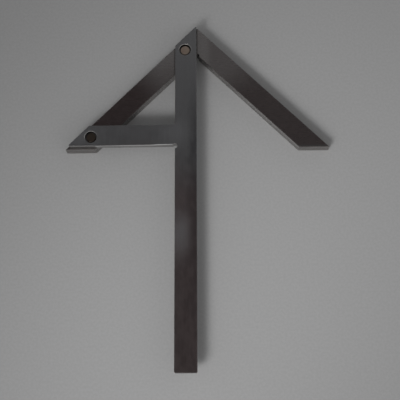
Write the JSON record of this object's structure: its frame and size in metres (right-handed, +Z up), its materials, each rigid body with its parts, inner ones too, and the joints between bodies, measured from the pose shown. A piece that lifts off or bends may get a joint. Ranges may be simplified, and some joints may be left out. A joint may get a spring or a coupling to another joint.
{
  "type": "centre square",
  "caption": "Centre square for round stock: a flat blade shaped like the figure 4, riveted on a V-shaped stock so that its straight right edge halves the right angle of the V.",
  "frame": {"origin": "centre of the outer box, on the level surface that the underside of the stock lies on", "axes": "+Z up through the blade's broad face, +Y along the scribing edge from its free end to the nose of the V, +X to the right; X = 0 is the plane of the scribing edge and halves the V"},
  "size_m": [0.15, 0.2, 0.011],
  "materials": {
    "stock_steel": "ground, darkened by handling and oil",
    "blade_steel": "ground, fine grain across the bar",
    "rivet_steel": "plain, slightly stained"
  },
  "bodies": {
    "root": {"v_stock": "stock_steel", "blade": "blade_steel", "nose_rivet": "rivet_steel", "arm_rivet": "rivet_steel"}
  },
  "joints": []
}
